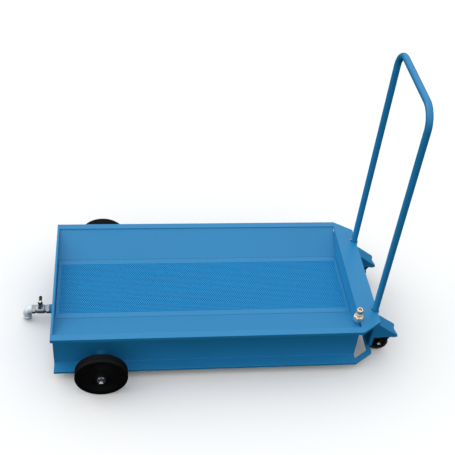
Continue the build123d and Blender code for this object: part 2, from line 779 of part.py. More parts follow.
# Fixed wheels: a stub axle in a boss that ties the web to the sump wall, and a
# solid tyre on a disc with a plain bush.
for side, sign in sides:
    with BuildPart() as axle_boss:
        with BuildSketch(Plane.XZ.offset(-sign * boss_inner)):
            with Locations((axle_x, wheel_radius)):
                Circle(boss_radius)
                Circle(axle_radius + weld_gap, mode=Mode.SUBTRACT)
        extrude(amount=-sign * (boss_outer - boss_inner))
    axle_boss.part.label = f"axle_boss_{side}"
    export_step(axle_boss.part, f"parts/axle_boss_{side}.step")

    axle_tip = hub_outer + washer_thickness + axle_nut_height + axle_end
    with BuildPart() as axle:
        with BuildSketch(Plane.XZ.offset(-sign * boss_inner)):
            with Locations((axle_x, wheel_radius)):
                Circle(axle_radius)
        extrude(amount=-sign * (axle_tip - boss_inner))
        end_rings = axle.edges().filter_by(GeomType.CIRCLE)
        chamfer(end_rings.sort_by(lambda ring: sign * ring.center().Y)[-1], length=axle_chamfer)
    axle.part.label = f"axle_{side}"
    export_step(axle.part, f"parts/axle_{side}.step")

    disc_radius = wheel_radius - tyre_depth
    with BuildPart() as tyre:
        with BuildSketch(Plane.XZ.offset(-sign * wheel_inner)):
            with Locations((axle_x, wheel_radius)):
                Circle(wheel_radius)
                Circle(disc_radius, mode=Mode.SUBTRACT)
        extrude(amount=-sign * wheel_width)
        fillet(tyre.edges().filter_by(GeomType.CIRCLE).group_by(SortBy.RADIUS)[-1], radius=tyre_round)
    tyre.part.label = f"tyre_{side}"
    export_step(tyre.part, f"parts/tyre_{side}.step")

    with BuildPart() as wheel_disc:
        with BuildSketch(Plane.XZ.offset(-sign * (wheel_inner + disc_recess))):
            with Locations((axle_x, wheel_radius)):
                Circle(disc_radius)
        extrude(amount=-sign * (wheel_width - 2 * disc_recess))
        with BuildSketch(Plane.XZ.offset(-sign * hub_inner)):
            with Locations((axle_x, wheel_radius)):
                Circle(hub_radius)
        extrude(amount=-sign * hub_width)
        with BuildSketch(Plane.XZ.offset(-sign * hub_inner)):
            with Locations((axle_x, wheel_radius)):
                Circle(bush_radius)
        extrude(amount=-sign * hub_width, mode=Mode.SUBTRACT)
    wheel_disc.part.label = f"wheel_disc_{side}"
    export_step(wheel_disc.part, f"parts/wheel_disc_{side}.step")

    with BuildPart() as wheel_bush:
        with BuildSketch(Plane.XZ.offset(-sign * (hub_inner + free_gap))):
            with Locations((axle_x, wheel_radius)):
                Circle(bush_radius - weld_gap)
                Circle(axle_radius + run_gap, mode=Mode.SUBTRACT)
        extrude(amount=-sign * (hub_width - 2 * free_gap))
    wheel_bush.part.label = f"wheel_bush_{side}"
    export_step(wheel_bush.part, f"parts/wheel_bush_{side}.step")

# Washers each side of both hubs, and the two axle nuts.
with BuildPart() as axle_washers:
    for side, sign in sides:
        for start in (hub_inner - washer_thickness, hub_outer + free_gap):
            with BuildSketch(Plane.XZ.offset(-sign * start)):
                with Locations((axle_x, wheel_radius)):
                    Circle(washer_radius)
                    Circle(axle_radius + weld_gap, mode=Mode.SUBTRACT)
            extrude(amount=-sign * (washer_thickness - free_gap))
axle_washers.part.label = "axle_washers"
export_step(axle_washers.part, "parts/axle_washers.step")

with BuildPart() as axle_nuts:
    for side, sign in sides:
        with BuildSketch(Plane.XZ.offset(-sign * (hub_outer + washer_thickness))):
            with Locations((axle_x, wheel_radius)):
                RegularPolygon(axle_nut_flats / 2, 6, major_radius=False)
                Circle(axle_radius + weld_gap, mode=Mode.SUBTRACT)
        extrude(amount=-sign * axle_nut_height)
axle_nuts.part.label = "axle_nuts"
export_step(axle_nuts.part, "parts/axle_nuts.step")

# Drain socket welded through the end wall.
with BuildPart() as drain_socket:
    with BuildSketch(Plane.YZ.offset(valve_right)):
        with Locations((0, drain_height)):
            Circle(drain_socket_radius)
            Circle(drain_bore, mode=Mode.SUBTRACT)
    extrude(amount=left_wall_inner - valve_right)
drain_socket.part.label = "drain_socket"
export_step(drain_socket.part, "parts/drain_socket.step")

# Ball valve body: hexagon ends, round waist, bonnet, through bore and ball seat.
ball_seat = ball_radius + free_gap
with BuildPart() as valve_body:
    with BuildSketch(Plane.YZ.offset(valve_left)):
        with Locations((0, drain_height)):
            RegularPolygon(valve_end_flats / 2, 6, major_radius=False)
    extrude(amount=valve_end_length)
    with BuildSketch(Plane.YZ.offset(valve_right)):
        with Locations((0, drain_height)):
            RegularPolygon(valve_end_flats / 2, 6, major_radius=False)
    extrude(amount=-valve_end_length)
    with BuildSketch(Plane.YZ.offset(valve_left + valve_end_length)):
        with Locations((0, drain_height)):
            Circle(valve_waist_radius)
    extrude(amount=valve_length - 2 * valve_end_length)
    with BuildSketch(Plane.XY.offset(drain_height)):
        with Locations((valve_x, 0)):
            Circle(bonnet_radius)
    extrude(amount=bonnet_height)
    with BuildSketch(Plane.YZ.offset(valve_left)):
        with Locations((0, drain_height)):
            Circle(ball_bore)
    extrude(amount=valve_length, mode=Mode.SUBTRACT)
    with Locations((valve_x, 0, drain_height)):
        Sphere(ball_seat, mode=Mode.SUBTRACT)
    with BuildSketch(Plane.XY.offset(drain_height)):
        with Locations((valve_x, 0)):
            Circle(stem_radius + run_gap)
    extrude(amount=bonnet_height, mode=Mode.SUBTRACT)
valve_body.part.label = "valve_body"
export_step(valve_body.part, "parts/valve_body.step")

# Ball, shown shut: its bore lies across the line, and the stem stands on it.
stem_foot = drain_height + ball_radius - stem_sink
with BuildPart() as valve_ball:
    with Locations((valve_x, 0, drain_height)):
        Sphere(ball_radius)
    with BuildSketch(Plane.XZ):
        with Locations((valve_x, drain_height)):
            Circle(ball_bore)
    extrude(amount=ball_radius, both=True, mode=Mode.SUBTRACT)
    with BuildSketch(Plane.XY.offset(stem_foot)):
        with Locations((valve_x, 0)):
            Circle(stem_radius)
    extrude(amount=ball_radius, mode=Mode.SUBTRACT)
valve_ball.part.label = "valve_ball"
export_step(valve_ball.part, "parts/valve_ball.step")

lever_bottom = lever_height - lever_thickness / 2
stem_top = lever_bottom + lever_thickness + lever_nut_height + stem_end
with BuildPart() as valve_stem:
    with BuildSketch(Plane.XY.offset(stem_foot)):
        with Locations((valve_x, 0)):
            Circle(stem_radius)
    extrude(amount=stem_top - stem_foot)
valve_stem.part.label = "valve_stem"
export_step(valve_stem.part, "parts/valve_stem.step")

# Tee lever, across the line when shut.
with BuildPart() as valve_lever:
    with BuildSketch(Plane.XY.offset(lever_bottom)):
        with Locations((valve_x, 0)):
            SlotOverall(lever_span, lever_width, rotation=90)
            Circle(lever_hub_radius)
            Circle(stem_radius + weld_gap, mode=Mode.SUBTRACT)
    extrude(amount=lever_thickness)
valve_lever.part.label = "valve_lever"
export_step(valve_lever.part, "parts/valve_lever.step")

with BuildPart() as lever_nut:
    with BuildSketch(Plane.XY.offset(lever_bottom + lever_thickness)):
        with Locations((valve_x, 0)):
            RegularPolygon(lever_nut_flats / 2, 6, major_radius=False)
            Circle(stem_radius + weld_gap, mode=Mode.SUBTRACT)
    extrude(amount=lever_nut_height)
lever_nut.part.label = "lever_nut"
export_step(lever_nut.part, "parts/lever_nut.step")

# Elbow: turns the outlet down.
with BuildPart() as drain_elbow:
    with BuildSketch(Plane.YZ.offset(elbow_x)):
        with Locations((0, drain_height)):
            Circle(elbow_radius)
    extrude(amount=valve_left - elbow_x)
    with BuildSketch(Plane.XY.offset(elbow_mouth_height)):
        with Locations((elbow_x, 0)):
            Circle(elbow_radius)
    extrude(amount=drain_height - elbow_mouth_height)
    with Locations((elbow_x, 0, drain_height)):
        Sphere(elbow_radius)
    with BuildSketch(Plane.YZ.offset(elbow_x)):
        with Locations((0, drain_height)):
            Circle(drain_bore)
    extrude(amount=valve_left - elbow_x, mode=Mode.SUBTRACT)
    with BuildSketch(Plane.XY.offset(elbow_mouth_height)):
        with Locations((elbow_x, 0)):
            Circle(drain_bore)
    extrude(amount=drain_height - elbow_mouth_height, mode=Mode.SUBTRACT)
    with Locations((elbow_x, 0, drain_height)):
        Sphere(drain_bore, mode=Mode.SUBTRACT)
drain_elbow.part.label = "drain_elbow"
export_step(drain_elbow.part, "parts/drain_elbow.step")

# Suction coupling: a steel socket welded through the tray, and the brass nipple.
with BuildPart() as coupling_socket:
    with BuildSketch(Plane.XY.offset(rim_height - coupling_socket_depth)):
        with Locations((coupling_x, coupling_y)):
            Circle(coupling_socket_radius)
            Circle(pipe_radius + weld_gap, mode=Mode.SUBTRACT)
    extrude(amount=coupling_top - rim_height + coupling_socket_depth)
coupling_socket.part.label = "coupling_socket"
export_step(coupling_socket.part, "parts/coupling_socket.step")

neck_bottom = coupling_top + coupling_hex_height
head_bottom = neck_bottom + coupling_neck_height
nipple_height = coupling_hex_height + coupling_neck_height + coupling_head_height
with BuildPart() as coupling_nipple:
    with BuildSketch(Plane.XY.offset(coupling_top)):
        with Locations((coupling_x, coupling_y)):
            Circle(pipe_radius)
    extrude(amount=-coupling_spigot)
    with BuildSketch(Plane.XY.offset(coupling_top)):
        with Locations((coupling_x, coupling_y)):
            RegularPolygon(coupling_hex / 2, 6, major_radius=False)
    extrude(amount=coupling_hex_height)
    with BuildSketch(Plane.XY.offset(neck_bottom)):
        with Locations((coupling_x, coupling_y)):
            Circle(coupling_neck_radius)
    extrude(amount=coupling_neck_height)
    with BuildSketch(Plane.XY.offset(head_bottom)):
        with Locations((coupling_x, coupling_y)):
            Circle(coupling_head_radius)
    extrude(amount=coupling_head_height)
    with BuildSketch(Plane.XY.offset(coupling_top - coupling_spigot)):
        with Locations((coupling_x, coupling_y)):
            Circle(coupling_bore)
    extrude(amount=coupling_spigot + nipple_height, mode=Mode.SUBTRACT)
coupling_nipple.part.label = "coupling_nipple"
export_step(coupling_nipple.part, "parts/coupling_nipple.step")
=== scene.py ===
import json
import math
import random

import bmesh
import bpy
from mathutils import Matrix, Vector


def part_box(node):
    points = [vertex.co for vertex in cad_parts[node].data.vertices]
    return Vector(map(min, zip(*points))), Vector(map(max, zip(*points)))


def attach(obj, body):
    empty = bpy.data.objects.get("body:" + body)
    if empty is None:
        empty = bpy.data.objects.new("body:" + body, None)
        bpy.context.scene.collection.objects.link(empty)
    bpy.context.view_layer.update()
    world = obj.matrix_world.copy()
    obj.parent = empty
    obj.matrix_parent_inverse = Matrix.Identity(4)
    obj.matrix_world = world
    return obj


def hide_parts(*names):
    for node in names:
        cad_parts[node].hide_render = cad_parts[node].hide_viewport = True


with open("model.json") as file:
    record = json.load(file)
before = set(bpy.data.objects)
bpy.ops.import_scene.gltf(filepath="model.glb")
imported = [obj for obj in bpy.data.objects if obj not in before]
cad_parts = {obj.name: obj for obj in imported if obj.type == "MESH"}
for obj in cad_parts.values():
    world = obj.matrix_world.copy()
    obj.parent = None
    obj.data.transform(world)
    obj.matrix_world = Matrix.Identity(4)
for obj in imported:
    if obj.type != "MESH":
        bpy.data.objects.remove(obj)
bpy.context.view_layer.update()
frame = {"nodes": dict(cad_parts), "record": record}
nodes = frame["nodes"]
bodyOf = {n: b for b, held in frame["record"]["behaviour"]["bodies"].items() for n in held}
random.seed(31)
print("frame loaded:", len(nodes), "nodes")


def newFinish(name):
    material = bpy.data.materials.new(name)
    material.use_nodes = True
    tree = material.node_tree
    surface = tree.nodes["Principled BSDF"]
    place = tree.nodes.new("ShaderNodeTexCoord").outputs["Object"]
    return material, tree, surface, place


def grainOf(tree, place, size, detail=2.0, rough=0.5, stretch=None):
    # size is the rough width of one feature in metres
    if stretch:
        squeeze = tree.nodes.new("ShaderNodeMapping")
        squeeze.inputs["Scale"].default_value = stretch
        tree.links.new(place, squeeze.inputs["Vector"])
        place = squeeze.outputs["Vector"]
    noise = tree.nodes.new("ShaderNodeTexNoise")
    noise.inputs["Scale"].default_value = 1.0 / size
    noise.inputs["Detail"].default_value = detail
    noise.inputs["Roughness"].default_value = rough
    tree.links.new(place, noise.inputs["Vector"])
    return noise.outputs["Fac"]


def cellsOf(tree, place, size):
    cells = tree.nodes.new("ShaderNodeTexVoronoi")
    cells.inputs["Scale"].default_value = 1.0 / size
    tree.links.new(place, cells.inputs["Vector"])
    return cells


def rampOf(tree, value, stops):
    ramp = tree.nodes.new("ShaderNodeValToRGB")
    points = ramp.color_ramp.elements
    while len(points) < len(stops):
        points.new(0.5)
    for point, (at, colour) in zip(points, stops):
        point.position = at
        point.color = (*colour, 1.0) if len(colour) == 3 else colour
    tree.links.new(value, ramp.inputs["Fac"])
    return ramp.outputs["Color"]


def mixOf(tree, share, first, second):
    mix = tree.nodes.new("ShaderNodeMix")
    mix.data_type = "RGBA"
    tree.links.new(share, mix.inputs["Factor"])
    tree.links.new(first, mix.inputs["A"])
    tree.links.new(second, mix.inputs["B"])
    return mix.outputs["Result"]


def rangeOf(tree, value, low, high):
    spread = tree.nodes.new("ShaderNodeMapRange")
    spread.inputs["To Min"].default_value = low
    spread.inputs["To Max"].default_value = high
    tree.links.new(value, spread.inputs["Value"])
    return spread.outputs["Result"]


def layBumps(tree, surface, layers):
    # layers are (height, depth in metres), finest last
    last = None
    for height, depth in layers:
        bump = tree.nodes.new("ShaderNodeBump")
        bump.inputs["Strength"].default_value = 1.0
        bump.inputs["Distance"].default_value = depth
        tree.links.new(height, bump.inputs["Height"])
        if last:
            tree.links.new(last, bump.inputs["Normal"])
        last = bump.outputs["Normal"]
    tree.links.new(last, surface.inputs["Normal"])


def shade(colour, amount):
    return tuple(min(1.0, c * amount) for c in colour)


powderCoat = {
    "colour": (0.014, 0.220, 0.475),
    "peelSize": 0.0022,     # orange-peel dimple width
    "peelDepth": 0.00006,
    "roughness": (0.36, 0.46),
    "specular": 0.44,
    "coat": 0.10,
    "patchSize": 0.30,      # slow change of tone across a panel
    "scuffSize": 0.035,
    "speckSize": 0.0016,
    "waveSize": 0.09,       # slow waviness of the sheet
    "waveDepth": 0.0006,
    "coatRoughness": 0.22,
}


def powderCoatFinish(name, colour, look=powderCoat):
    material, tree, surface, place = newFinish(name)
    patch = grainOf(tree, place, look["patchSize"], 3)
    toned = rampOf(tree, patch, [(0.3, shade(colour, 0.95)), (0.7, shade(colour, 1.05))])
    scuff = grainOf(tree, place, look["scuffSize"], 6, 0.7)
    scuffStops = [(0.0, shade(colour, 0.97)), (0.55, colour), (0.75, shade(colour, 1.09))]
    pale = rampOf(tree, scuff, scuffStops)
    speck = grainOf(tree, place, look["speckSize"], 1)
    share = rangeOf(tree, speck, 0.25, 0.75)
    tree.links.new(mixOf(tree, share, toned, pale), surface.inputs["Base Color"])
    tree.links.new(rangeOf(tree, scuff, *look["roughness"]), surface.inputs["Roughness"])
    surface.inputs["Coat Weight"].default_value = look["coat"]
    surface.inputs["Coat Roughness"].default_value = look["coatRoughness"]
    surface.inputs["Specular IOR Level"].default_value = look["specular"]
    peel = grainOf(tree, place, look["peelSize"], 2)
    wave = grainOf(tree, place, look["waveSize"], 1)
    layBumps(tree, surface, [(wave, look["waveDepth"]), (peel, look["peelDepth"])])
    return material


plate = {"zinc": (0.56, 0.60, 0.63), "nickel": (0.48, 0.51, 0.55), "galvanised": (0.80, 0.88, 0.92)}


def platedFinish(name, colour, roughness, spangle=0.0, warm=(1.0, 0.97, 0.90), metal=1.0):
    material, tree, surface, place = newFinish(name)
    cloud = grainOf(tree, place, 0.012, 4)
    tinted = tuple(c * w for c, w in zip(colour, warm))
    toned = rampOf(tree, cloud, [(0.35, shade(colour, 0.86)), (0.5, colour), (0.68, tinted)])
    tree.links.new(toned, surface.inputs["Base Color"])
    surface.inputs["Metallic"].default_value = metal
    fine = grainOf(tree, place, 0.0009, 3)
    tree.links.new(rangeOf(tree, cloud, roughness * 0.75, roughness * 1.35), surface.inputs["Roughness"])
    layers = [(fine, 0.00002)]
    if spangle:
        layers.insert(0, (cellsOf(tree, place, spangle).outputs["Distance"], 0.00012))
    layBumps(tree, surface, layers)
    return material


rubber = {
    "tyre": (0.0030, 0.0031, 0.0034),
    "worn": (0.0056, 0.0052, 0.0048),
    "castor": (0.030, 0.030, 0.032),
}


def rubberFinish(name, colour, worn, roughness=(0.48, 0.68)):
    material, tree, surface, place = newFinish(name)
    dust = grainOf(tree, place, 0.018, 5, 0.65)
    tree.links.new(rampOf(tree, dust, [(0.42, colour), (0.72, worn)]), surface.inputs["Base Color"])
    tree.links.new(rangeOf(tree, dust, *roughness), surface.inputs["Roughness"])
    surface.inputs["Specular IOR Level"].default_value = 0.10
    grit = grainOf(tree, place, 0.0011, 3)
    layBumps(tree, surface, [(dust, 0.0003), (grit, 0.00008)])
    return material


def mouldedFinish(name, colour, roughness=(0.38, 0.5), specular=0.4):
    material, tree, surface, place = newFinish(name)
    cloud = grainOf(tree, place, 0.02, 3)
    toned = rampOf(tree, cloud, [(0.3, shade(colour, 0.85)), (0.7, shade(colour, 1.2))])
    tree.links.new(toned, surface.inputs["Base Color"])
    tree.links.new(rangeOf(tree, cloud, *roughness), surface.inputs["Roughness"])
    surface.inputs["Specular IOR Level"].default_value = specular
    spark = grainOf(tree, place, 0.0006, 2)
    layBumps(tree, surface, [(spark, 0.00004)])
    return material


turnedBrass = {"colour": (0.90, 0.76, 0.60), "red": (0.72, 0.38, 0.30), "roughness": 0.42}


def brassFinish(name, look=turnedBrass):
    material, tree, surface, place = newFinish(name)
    stain = grainOf(tree, place, 0.009, 4, 0.6)
    stops = [(0.32, shade(look["colour"], 1.12)), (0.52, look["colour"]), (0.74, look["red"])]
    tree.links.new(rampOf(tree, stain, stops), surface.inputs["Base Color"])
    surface.inputs["Metallic"].default_value = 1.0
    rough = rangeOf(tree, stain, look["roughness"] * 0.7, look["roughness"] * 1.5)
    tree.links.new(rough, surface.inputs["Roughness"])
    toolMarks = grainOf(tree, place, 0.004, 2, 0.5, stretch=(1, 1, 9))
    layBumps(tree, surface, [(toolMarks, 0.00005)])
    return material


blue = powderCoatFinish("blue powder coat", powderCoat["colour"])
# the grille is the blue powder coat made paler: painted light that lifts the punched area, which is really the
# same paint as the rest
grilleCoatPaintedLight = dict(powderCoat, colour=(0.013, 0.248, 0.560), roughness=(0.50, 0.60), specular=0.20, coat=0.0)
grilleBluePaintedLight = powderCoatFinish("grille powder coat painted lighter", grilleCoatPaintedLight["colour"], grilleCoatPaintedLight)
zinc = platedFinish("zinc plate", plate["zinc"], 0.26)
nickel = platedFinish("nickel plate", plate["nickel"], 0.28, metal=0.75)
galvanised = platedFinish(
    "galvanised casting", plate["galvanised"], 0.42, spangle=0.006, warm=(1.0, 1.0, 1.0), metal=0.12,
)
tyreBlack = rubberFinish("tyre rubber", rubber["tyre"], rubber["worn"])
castorBlack = rubberFinish("castor rubber", rubber["castor"], shade(rubber["castor"], 1.8))
discBlack = mouldedFinish("moulded disc", (0.0036, 0.0037, 0.0040), (0.55, 0.68), 0.12)
nylon = mouldedFinish("nylon bush", (0.66, 0.64, 0.58))
leverBlack = mouldedFinish("lever paint", (0.012, 0.012, 0.013), (0.25, 0.38))
brass = brassFinish("turned brass")
print("finishes made:", len(bpy.data.materials))


def newPiece(name, verts, faces, finish, body, smoothAngle=32):
    mesh = bpy.data.meshes.new(name)
    mesh.from_pydata([tuple(v) for v in verts], [], faces)
    bm = bmesh.new()
    bm.from_mesh(mesh)
    bmesh.ops.remove_doubles(bm, verts=bm.verts, dist=1e-6)
    bmesh.ops.dissolve_degenerate(bm, edges=bm.edges, dist=1e-7)
    bmesh.ops.recalc_face_normals(bm, faces=bm.faces)
    bm.to_mesh(mesh)
    bm.free()
    mesh.materials.append(finish)
    mesh.shade_smooth()
    mesh.set_sharp_from_angle(angle=math.radians(smoothAngle))
    piece = bpy.data.objects.new(name, mesh)
    bpy.context.scene.collection.objects.link(piece)
    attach(piece, body)
    return piece


def spin(profileAt, origin, axis, steps=72):
    # profileAt(turn) gives (radius, height) pairs; a profile whose ends meet makes a closed ring
    axis = Vector(axis).normalized()
    across = axis.orthogonal().normalized()
    if abs(axis.z) > 0.9:
        across = Vector((1, 0, 0))
    elif abs(axis.y) > 0.9:
        across = Vector((0, 0, 1))
    other = axis.cross(across)
    verts, faces = [], []
    count = len(profileAt(0.0))
    for step in range(steps):
        turn = 2 * math.pi * step / steps
        out = across * math.cos(turn) + other * math.sin(turn)
        verts += [Vector(origin) + out * r + axis * h for r, h in profileAt(turn)]
        after = (step + 1) % steps
        for k in range(count - 1):
            a, b = step * count + k, step * count + k + 1
            faces.append((a, b, after * count + k + 1, after * count + k))
    return verts, faces


def turned(name, profile, origin, axis, finish, body, steps=72):
    verts, faces = spin(lambda turn: profile, origin, axis, steps)
    return newPiece(name, verts, faces, finish, body)


def hexProfile(flats, height, bore, faceRound=0.93, both=True):
    # a nut or bolt head: flats with the corners turned off at 30 degrees
    def at(turn):
        corner = (turn % (math.pi / 3)) - math.pi / 6
        reach = flats / 2 / math.cos(corner)
        flat = flats / 2 * faceRound
        fall = (reach - flat) * 0.55
        foot = fall if both else 0.0
        return [
            (bore, 0), (flat, 0), (reach, foot), (reach, height - fall),
            (flat, height), (bore, height), (bore, 0),
        ]
    return at


def hexPiece(name, flats, height, bore, origin, axis, finish, body, both=True):
    verts, faces = spin(hexProfile(flats, height, bore, both=both), origin, axis, 96)
    return newPiece(name, verts, faces, finish, body, 24)


def joinParts(parts):
    verts, faces = [], []
    for partVerts, partFaces in parts:
        start = len(verts)
        verts += list(partVerts)
        faces += [tuple(i + start for i in face) for face in partFaces]
    return verts, faces


def sweep(points, ups, radiusAt, sides=10, closed=False):
    # a round bar along points, its width at each given by radiusAt(index)
    verts, faces = [], []
    last = len(points)
    for k, point in enumerate(points):
        ahead = points[(k + 1) % last] if closed else points[min(k + 1, last - 1)]
        behind = points[k - 1] if closed or k else points[0]
        along = (Vector(ahead) - Vector(behind)).normalized()
        up = Vector(ups[k])
        up = (up - along * up.dot(along)).normalized()
        side = along.cross(up)
        r = radiusAt(k)
        for s in range(sides):
            turn = 2 * math.pi * s / sides
            verts.append(Vector(point) + (side * math.cos(turn) + up * math.sin(turn)) * r)
    for k in range(last if closed else last - 1):
        n = (k + 1) % last
        for s in range(sides):
            t = (s + 1) % sides
            faces.append((k * sides + s, k * sides + t, n * sides + t, n * sides + s))
    if not closed:
        faces.append(tuple(range(sides)))
        faces.append(tuple((last - 1) * sides + s for s in range(sides)))
    return verts, faces


weldLook = {"radius": 0.0024, "ripple": 0.0022, "wander": 0.00025}


def weldAlong(points, ups, radius=None, closed=False):
    # beads laid one on another: the width swells and drops every ripple
    radius = radius or weldLook["radius"]
    fine, fineUps = [], []
    total = len(points)
    for k in range(total if closed else total - 1):
        a, b = Vector(points[k]), Vector(points[(k + 1) % total])
        parts = max(1, int((b - a).length / (weldLook["ripple"] / 4)))
        for p in range(parts):
            fine.append(a.lerp(b, p / parts))
            fineUps.append(Vector(ups[k]).lerp(Vector(ups[(k + 1) % total]), p / parts))
    if not closed:
        fine.append(Vector(points[-1]))
        fineUps.append(Vector(ups[-1]))
    wander = [random.uniform(-1, 1) for _ in fine]

    def width(k):
        beat = (k % 4) / 4
        taper = 1.0 if closed else min(1.0, 0.55 + 0.15 * min(k, len(fine) - 1 - k))
        return taper * (radius * (0.86 + 0.2 * (1 - beat)) + wander[k // 4] * weldLook["wander"])

    return sweep(fine, fineUps, width, 8, closed)


def ringPoints(centre, axis, radius, count=48, start=0.0, end=2 * math.pi):
    axis = Vector(axis).normalized()
    across = Vector((0, 0, 1)) if abs(axis.z) < 0.9 else Vector((1, 0, 0))
    other = axis.cross(across)
    points = []
    for k in range(count):
        turn = start + (end - start) * k / count
        points.append(Vector(centre) + (across * math.cos(turn) + other * math.sin(turn)) * radius)
    return points


def softened(node, radius, finish, sharpAt=None, segments=3, suffix="_folded"):
    source = nodes[node]
    bm = bmesh.new()
    bm.from_mesh(source.data)
    bmesh.ops.remove_doubles(bm, verts=bm.verts, dist=2e-6)
    bmesh.ops.dissolve_limit(bm, angle_limit=math.radians(0.8), verts=bm.verts, edges=bm.edges)
    chosen = []
    for edge in bm.edges:
        if len(edge.link_faces) != 2:
            continue
        if edge.calc_face_angle(0) < math.radians(26):
            continue
        if sharpAt and sharpAt(*[v.co for v in edge.verts]):
            continue
        chosen.append(edge)
    bmesh.ops.bevel(
        bm, geom=chosen, offset=radius, segments=segments, profile=0.5,
        affect="EDGES", clamp_overlap=True,
    )
    name = node + suffix
    mesh = bpy.data.meshes.new(name)
    bm.to_mesh(mesh)
    bm.free()
    mesh.materials.append(finish)
    mesh.shade_smooth()
    mesh.set_sharp_from_angle(angle=math.radians(60))
    piece = bpy.data.objects.new(name, mesh)
    bpy.context.scene.collection.objects.link(piece)
    steady = piece.modifiers.new("steady faces", "WEIGHTED_NORMAL")
    steady.keep_sharp = True
    steady.weight = 100
    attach(piece, bodyOf[node])
    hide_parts(node)
    return piece


deckLow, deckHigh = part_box("end_deck")
deckStart = deckLow.x
rimHeight = deckHigh.z
tol = 0.0004


def onJoint(*planes):
    # an edge lies on a joint when both its ends are on one of these planes
    def test(a, b):
        for axis, place in planes:
            if abs(a[axis] - place) < tol and abs(b[axis] - place) < tol:
                return True
        return False
    return test


leftLow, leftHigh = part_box("left_rim")
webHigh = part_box("side_web_near")[1]
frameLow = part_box("lower_end_frame")[0]
rimInner = leftHigh.y
folds = {"tray": 0.0011, "frame": 0.0012, "cut": 0.0007}

trayJoints = onJoint((0, deckStart), (0, leftHigh.x), (0, leftLow.x + 0.007))
webJoints = onJoint((0, webHigh.x), (2, webHigh.z))
rimJoints = onJoint((1, rimInner), (1, -rimInner), (0, leftHigh.x))
for side in ("near", "far"):
    softened(f"tray_side_{side}", folds["tray"], blue, trayJoints)
    softened(f"side_web_{side}", folds["frame"], blue, webJoints)
    softened(f"bracket_plate_{side}", folds["cut"], blue)
    softened(f"castor_bracket_{side}", folds["frame"], blue)
    softened(f"castor_seat_{side}", folds["cut"], blue)
softened("end_deck", folds["tray"], blue, onJoint((0, deckStart)))
softened("left_rim", folds["tray"], blue, rimJoints)
softened("left_end_wall", folds["cut"], blue)
softened("lower_end_frame", folds["frame"], blue, onJoint((0, frameLow.x)))
for index in range(1, 5):
    softened(f"grille_bar_{index}", folds["cut"], blue)
print("sheet metal softened")


grilleHoles = {"pitch": 0.0080, "hole": 0.0045, "sideBorder": 0.021, "endBorder": 0.006}


def perforatedSheet(node, look):
    low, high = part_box(node)
    pitch = look["pitch"]
    rowStep = pitch * math.sqrt(3) / 2
    across = int((high.x - low.x - 2 * look["endBorder"]) / pitch)
    rows = int((high.y - low.y - 2 * look["sideBorder"]) / rowStep)
    startX = (low.x + high.x) / 2 - across * pitch / 2
    startY = (low.y + high.y) / 2 - rows * rowStep / 2
    endX, endY = startX + across * pitch, startY + rows * rowStep
    halfX, halfY = pitch / 2, rowStep / 2
    toCorner = math.atan2(halfY, halfX)
    firstTurns = [0, toCorner, (toCorner + math.pi / 2) / 2]
    turns = list(firstTurns)
    turns += [math.pi / 2, math.pi - firstTurns[2], math.pi - toCorner]
    turns += [t + math.pi for t in turns]
    outer, inner = [], []
    for t in turns:
        dx, dy = math.cos(t), math.sin(t)
        reach = min(halfX / abs(dx) if abs(dx) > 1e-9 else 9, halfY / abs(dy) if abs(dy) > 1e-9 else 9)
        outer.append((dx * reach, dy * reach))
        inner.append((dx * look["hole"] / 2, dy * look["hole"] / 2))
    count = len(turns)
    verts, faces = [], []
    plain = set()    # faces of the unpunched border

    def flat(x0, y0, x1, y1):
        for z, order in ((high.z, (0, 1, 2, 3)), (low.z, (3, 2, 1, 0))):
            base = len(verts)
            verts.extend([(x0, y0, z), (x1, y0, z), (x1, y1, z), (x0, y1, z)])
            plain.add(len(faces))
            faces.append(tuple(base + k for k in order))

    for row in range(rows):
        y = startY + (row + 0.5) * rowStep
        odd = row % 2
        for column in range(across - odd):
            x = startX + (column + 0.5 + 0.5 * odd) * pitch
            base = len(verts)
            verts.extend([(x + px, y + py, high.z) for px, py in outer])
            verts.extend([(x + px, y + py, high.z) for px, py in inner])
            verts.extend([(x + px, y + py, low.z) for px, py in outer])
            verts.extend([(x + px, y + py, low.z) for px, py in inner])
            top, topHole = base, base + count
            under, underHole = base + 2 * count, base + 3 * count
            for k in range(count):
                n = (k + 1) % count
                faces.append((top + k, top + n, topHole + n, topHole + k))
                faces.append((topHole + k, topHole + n, underHole + n, underHole + k))
                faces.append((underHole + k, underHole + n, under + n, under + k))
        if odd:
            flat(startX, y - halfY, startX + halfX, y + halfY)
            flat(endX - halfX, y - halfY, endX, y + halfY)
    flat(low.x, low.y, high.x, startY)
    flat(low.x, endY, high.x, high.y)
    flat(low.x, startY, startX, endY)
    flat(endX, startY, high.x, endY)
    rim = [(low.x, low.y), (high.x, low.y), (high.x, high.y), (low.x, high.y)]
    base = len(verts)
    verts.extend([(x, y, low.z) for x, y in rim] + [(x, y, high.z) for x, y in rim])
    for k in range(4):
        n = (k + 1) % 4
        faces.append((base + k, base + n, base + 4 + n, base + 4 + k))
    name = "perforated_grille"
    mesh = bpy.data.meshes.new(name)
    mesh.from_pydata(verts, [], faces)
    mesh.materials.append(grilleBluePaintedLight)
    mesh.materials.append(blue)
    # punched faces take the paler grille coat (painted light); the plain border keeps the blue coat
    for face in mesh.polygons:
        face.material_index = 1 if face.index in plain else 0
    piece = bpy.data.objects.new(name, mesh)
    bpy.context.scene.collection.objects.link(piece)
    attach(piece, bodyOf[node])
    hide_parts(node)
    return rows * across


print("grille holes:", perforatedSheet("grille", grilleHoles))


fixedWheel = {"grooveDepth": 0.0014, "rib": 0.0016, "discRadius": 0.068, "discBore": 0.013, "steps": 128}


